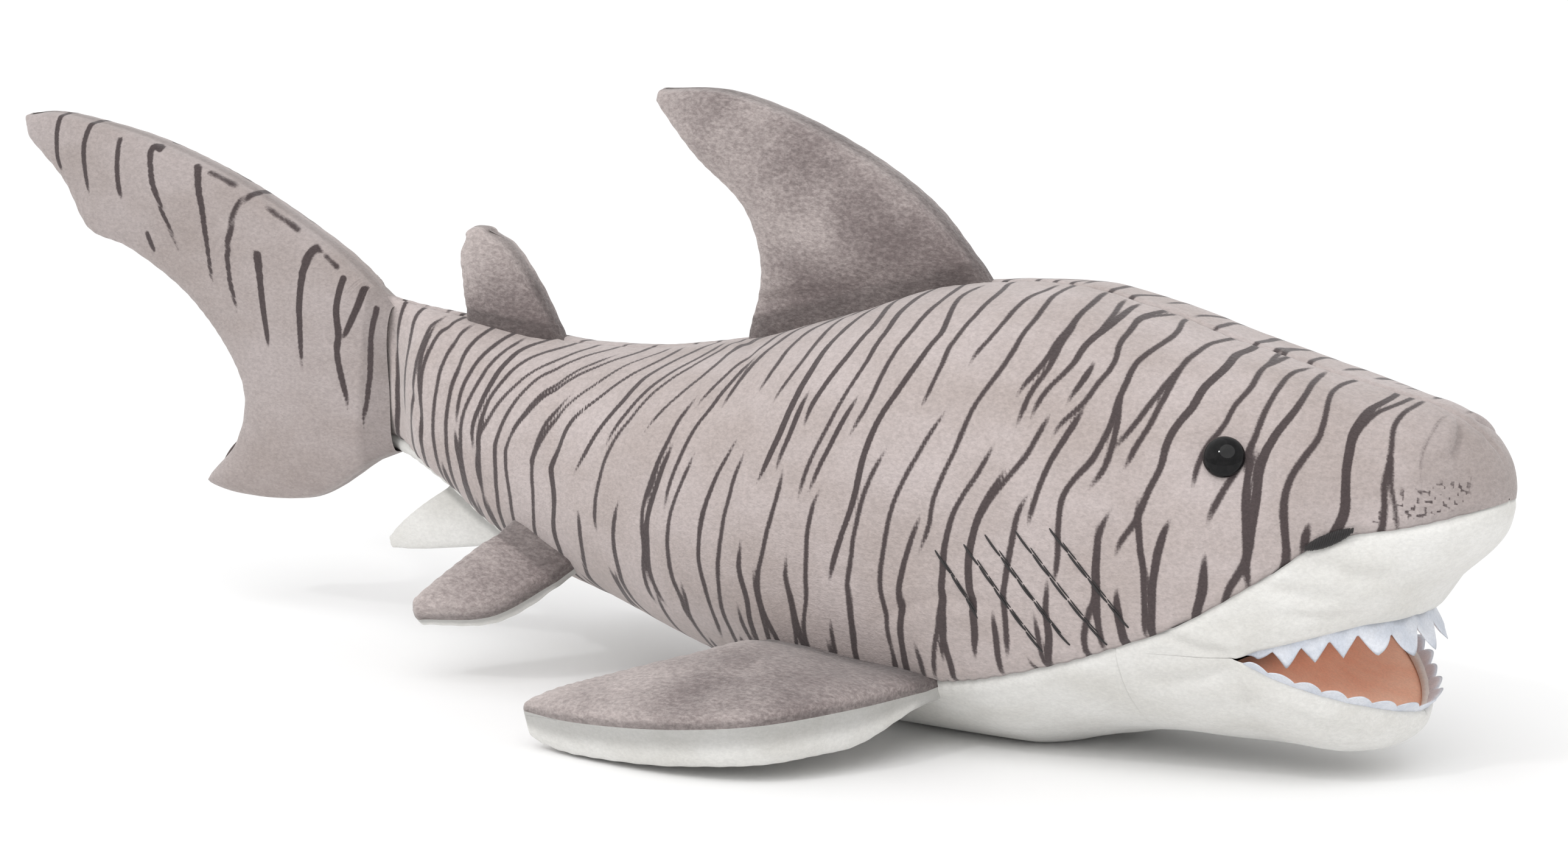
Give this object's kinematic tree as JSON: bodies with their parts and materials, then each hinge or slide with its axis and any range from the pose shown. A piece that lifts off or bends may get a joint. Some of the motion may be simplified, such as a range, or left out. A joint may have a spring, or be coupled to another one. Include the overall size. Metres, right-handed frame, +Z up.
{
  "type": "plush shark",
  "caption": "Stuffed toy shark lying on its belly, with striped plush sides, sewn fins that flop, an open felt-toothed mouth and a tail that sways.",
  "frame": {"origin": "on the flat patch of belly that the toy rests on, below the thickest part of the body, on the midline", "axes": "+X towards the snout, +Y the shark's left side, +Z up"},
  "size_m": [0.5468, 0.248, 0.1848],
  "materials": {
    "striped_plush": "short plush, light warm grey, printed with dark tapered stripes",
    "grey_plush": "short velvety plush, mid grey",
    "white_plush": "short plush, off-white",
    "white_felt": "stiff matte felt",
    "mouth_lining": "smooth knitted lining, salmon orange",
    "fibre_stuffing": "polyester fibre",
    "eye_plastic": "polished black",
    "washer_plastic": "moulded, uncoloured",
    "black_thread": "thick embroidery thread"
  },
  "bodies": {
    "trunk": {"back_panel_right": "striped_plush", "back_panel_left": "striped_plush", "belly_panel": "white_plush", "muzzle_panel": "white_plush", "palate_lining": "mouth_lining", "trunk_stuffing": "fibre_stuffing", "upper_teeth": "white_felt", "eye_right": "eye_plastic", "eye_left": "eye_plastic", "eye_washer_right": "washer_plastic", "eye_washer_left": "washer_plastic", "nostril_stitch_right": "black_thread", "nostril_stitch_left": "black_thread", "gill_thread_right_1": "black_thread", "gill_thread_right_2": "black_thread", "gill_thread_right_3": "black_thread", "gill_thread_right_4": "black_thread", "gill_thread_right_5": "black_thread", "gill_thread_left_1": "black_thread", "gill_thread_left_2": "black_thread", "gill_thread_left_3": "black_thread", "gill_thread_left_4": "black_thread", "gill_thread_left_5": "black_thread"},
    "jaw": {"jaw_panel": "white_plush", "tongue_lining": "mouth_lining", "jaw_stuffing": "fibre_stuffing", "lower_teeth": "white_felt"},
    "rear_body": {"rear_panel_right": "striped_plush", "rear_panel_left": "striped_plush", "rear_belly_panel": "white_plush", "rear_stuffing": "fibre_stuffing"},
    "first_dorsal": {"first_dorsal_panel_right": "grey_plush", "first_dorsal_panel_left": "grey_plush", "first_dorsal_stuffing": "fibre_stuffing"},
    "second_dorsal": {"second_dorsal_panel_right": "grey_plush", "second_dorsal_panel_left": "grey_plush", "second_dorsal_stuffing": "fibre_stuffing"},
    "anal_fin": {"anal_fin_panel_right": "white_plush", "anal_fin_panel_left": "white_plush", "anal_fin_stuffing": "fibre_stuffing"},
    "caudal_fin": {"caudal_fin_panel_right": "striped_plush", "caudal_fin_panel_left": "striped_plush", "caudal_fin_stuffing": "fibre_stuffing"},
    "pectoral_right": {"pectoral_right_top_panel": "grey_plush", "pectoral_right_bottom_panel": "white_plush", "pectoral_right_stuffing": "fibre_stuffing"},
    "pectoral_left": {"pectoral_left_top_panel": "grey_plush", "pectoral_left_bottom_panel": "white_plush", "pectoral_left_stuffing": "fibre_stuffing"},
    "pelvic_right": {"pelvic_right_top_panel": "grey_plush", "pelvic_right_bottom_panel": "white_plush", "pelvic_right_stuffing": "fibre_stuffing"},
    "pelvic_left": {"pelvic_left_top_panel": "grey_plush", "pelvic_left_bottom_panel": "white_plush", "pelvic_left_stuffing": "fibre_stuffing"}
  },
  "joints": [
    {"name": "jaw_hinge", "type": "hinge", "parent": "trunk", "child": "jaw", "pos_m": [0.079, 0, 0.039], "axis": [0, 1, 0], "range_deg": [-15, 12], "stiffness_Nm_per_rad": 0.12},
    {"name": "tail_sway", "type": "hinge", "parent": "trunk", "child": "rear_body", "pos_m": [-0.165, 0, 0.062], "axis": [0, 0, 1], "range_deg": [-25, 25], "stiffness_Nm_per_rad": 0.25},
    {"name": "caudal_swing", "type": "hinge", "parent": "rear_body", "child": "caudal_fin", "pos_m": [-0.2555, 0, 0.085], "axis": [0, 0, 1], "range_deg": [-35, 35], "stiffness_Nm_per_rad": 0.08},
    {"name": "first_dorsal_lean", "type": "hinge", "parent": "trunk", "child": "first_dorsal", "pos_m": [-0.07, 0, 0.1245], "axis": [0.9628, 0, 0.2701], "range_deg": [-35, 35], "stiffness_Nm_per_rad": 0.1},
    {"name": "second_dorsal_lean", "type": "hinge", "parent": "rear_body", "child": "second_dorsal", "pos_m": [-0.2015, 0, 0.10725], "axis": [0.995, 0, -0.0995], "range_deg": [-35, 35], "stiffness_Nm_per_rad": 0.03},
    {"name": "anal_fin_lean", "type": "hinge", "parent": "rear_body", "child": "anal_fin", "pos_m": [-0.2135, 0, 0.04225], "axis": [0.8691, 0, -0.4946], "range_deg": [-35, 35], "stiffness_Nm_per_rad": 0.03},
    {"name": "pectoral_right_flap", "type": "hinge", "parent": "trunk", "child": "pectoral_right", "pos_m": [-0.0445, -0.0545, 0.022], "axis": [-0.994, 0.0489, 0.0978], "range_deg": [-25, 50], "stiffness_Nm_per_rad": 0.1},
    {"name": "pectoral_left_flap", "type": "hinge", "parent": "trunk", "child": "pectoral_left", "pos_m": [-0.0445, 0.0545, 0.022], "axis": [0.994, 0.0489, -0.0978], "range_deg": [-25, 50], "stiffness_Nm_per_rad": 0.1},
    {"name": "pelvic_right_flap", "type": "hinge", "parent": "rear_body", "child": "pelvic_right", "pos_m": [-0.173, -0.0335, 0.03725], "axis": [-0.918, 0.1412, 0.3707], "range_deg": [-20, 40], "stiffness_Nm_per_rad": 0.03},
    {"name": "pelvic_left_flap", "type": "hinge", "parent": "rear_body", "child": "pelvic_left", "pos_m": [-0.173, 0.0335, 0.03725], "axis": [0.918, 0.1412, -0.3707], "range_deg": [-20, 40], "stiffness_Nm_per_rad": 0.03}
  ]
}
